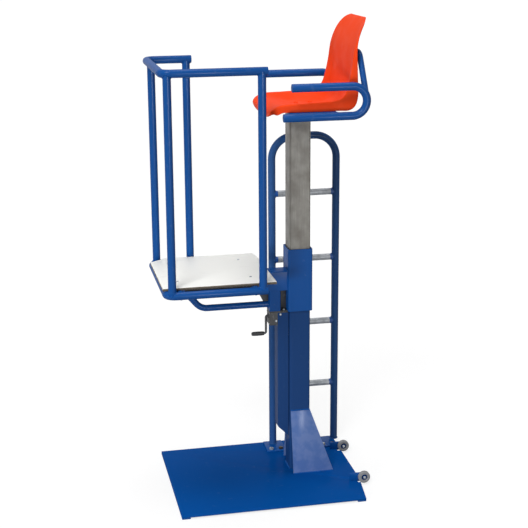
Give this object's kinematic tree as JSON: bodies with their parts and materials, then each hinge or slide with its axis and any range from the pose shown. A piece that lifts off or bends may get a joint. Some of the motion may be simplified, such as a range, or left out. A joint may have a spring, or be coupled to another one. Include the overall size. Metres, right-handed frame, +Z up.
{
  "type": "referee stand",
  "caption": "Free-standing volleyball referee stand: moulded seat on a fixed mast, ladder behind it, and a railed footboard that a hand crank winds up the mast.",
  "frame": {"origin": "middle of the stand's bounding box in plan, on the floor", "axes": "+Z up, +X from the footboard towards the seat back, +Y towards the ladder"},
  "size_m": [0.8798, 0.6734, 1.9828],
  "materials": {
    "blue_paint": "gloss paint",
    "bare_steel": "bare above the sleeve's lowest place, blue paint below it",
    "zinc": "zinc plated",
    "greased_steel": "greased",
    "orange_shell": "moulded",
    "white_board": "white laminate",
    "black_plastic": "moulded",
    "black_casting": "dark painted casting",
    "grey_rubber": "solid tyre"
  },
  "bodies": {
    "stand": {"base_plate": "blue_paint", "base_skid_left": "blue_paint", "base_skid_right": "blue_paint", "ladder_foot_bolt_left_1": "zinc", "ladder_foot_bolt_left_2": "zinc", "ladder_foot_bolt_right_1": "zinc", "ladder_foot_bolt_right_2": "zinc", "ladder_foot_left": "blue_paint", "ladder_foot_right": "blue_paint", "ladder_hoop": "blue_paint", "ladder_rung_1": "zinc", "ladder_rung_2": "zinc", "ladder_rung_3": "zinc", "ladder_rung_4": "zinc", "lift_nut": "greased_steel", "mast": "bare_steel", "mast_gusset_far": "blue_paint", "mast_gusset_near": "blue_paint", "seat_arm_far": "blue_paint", "seat_arm_near": "blue_paint", "seat_back_hoop": "blue_paint", "seat_bolt_1": "zinc", "seat_bolt_2": "zinc", "seat_bolt_3": "zinc", "seat_bolt_4": "zinc", "seat_plate": "blue_paint", "seat_shell": "orange_shell", "wheel_axle_far": "zinc", "wheel_axle_near": "zinc", "wheel_lug_far": "blue_paint", "wheel_lug_near": "blue_paint"},
    "carriage": {"board_screw_1": "zinc", "board_screw_2": "zinc", "board_screw_3": "zinc", "board_screw_4": "zinc", "carriage_bracket": "blue_paint", "carriage_leg": "blue_paint", "carriage_sleeve": "blue_paint", "footboard": "white_board", "gearbox_housing": "black_casting", "gearbox_lid": "black_casting", "guard_post_1": "blue_paint", "guard_post_2": "blue_paint", "guard_post_3": "blue_paint", "guard_post_4": "blue_paint", "guard_rail": "blue_paint", "platform_brace": "blue_paint", "platform_cross_left": "blue_paint", "platform_cross_right": "blue_paint", "platform_frame": "blue_paint", "slide_bush_lower": "black_plastic", "slide_bush_upper": "black_plastic", "spindle_guard": "blue_paint"},
    "spindle": {"lift_spindle": "greased_steel", "spindle_gear": "greased_steel"},
    "pinion": {"crank_pinion": "greased_steel"},
    "crank": {"crank_rod": "zinc"},
    "grip": {"crank_grip": "black_plastic"},
    "wheel_near": {"wheel_near": "grey_rubber"},
    "wheel_far": {"wheel_far": "grey_rubber"}
  },
  "joints": [
    {"name": "carriage_lift", "type": "slide", "parent": "stand", "child": "carriage", "axis": [0, 0, 1], "range_m": [0, 0.4]},
    {"name": "spindle_turn", "type": "hinge", "parent": "carriage", "child": "spindle", "pos_m": [0.10093, 0.06333, 0.7197], "axis": [0, 0, 1], "continuous": true},
    {"name": "pinion_turn", "type": "hinge", "parent": "carriage", "child": "pinion", "pos_m": [0.10093, 0.06333, 0.7197], "axis": [1, 0, 0], "continuous": true},
    {"name": "crank_swing", "type": "hinge", "parent": "carriage", "child": "crank", "pos_m": [0.04192, 0.06333, 0.7197], "axis": [1, 0, 0], "range_deg": [-150, 150]},
    {"name": "grip_spin", "type": "hinge", "parent": "crank", "child": "grip", "pos_m": [-0.00308, 0.06333, 0.6402], "axis": [1, 0, 0], "continuous": true},
    {"name": "wheel_near_spin", "type": "hinge", "parent": "stand", "child": "wheel_near", "pos_m": [0.41392, -0.16667, 0.031], "axis": [0, 1, 0], "continuous": true},
    {"name": "wheel_far_spin", "type": "hinge", "parent": "stand", "child": "wheel_far", "pos_m": [0.41392, 0.17333, 0.031], "axis": [0, 1, 0], "continuous": true}
  ],
  "couplings": [
    {"joint": "spindle_turn", "follows": "carriage_lift", "rad_per_m": 1256.6},
    {"joint": "pinion_turn", "follows": "carriage_lift", "rad_per_m": -1256.6}
  ]
}
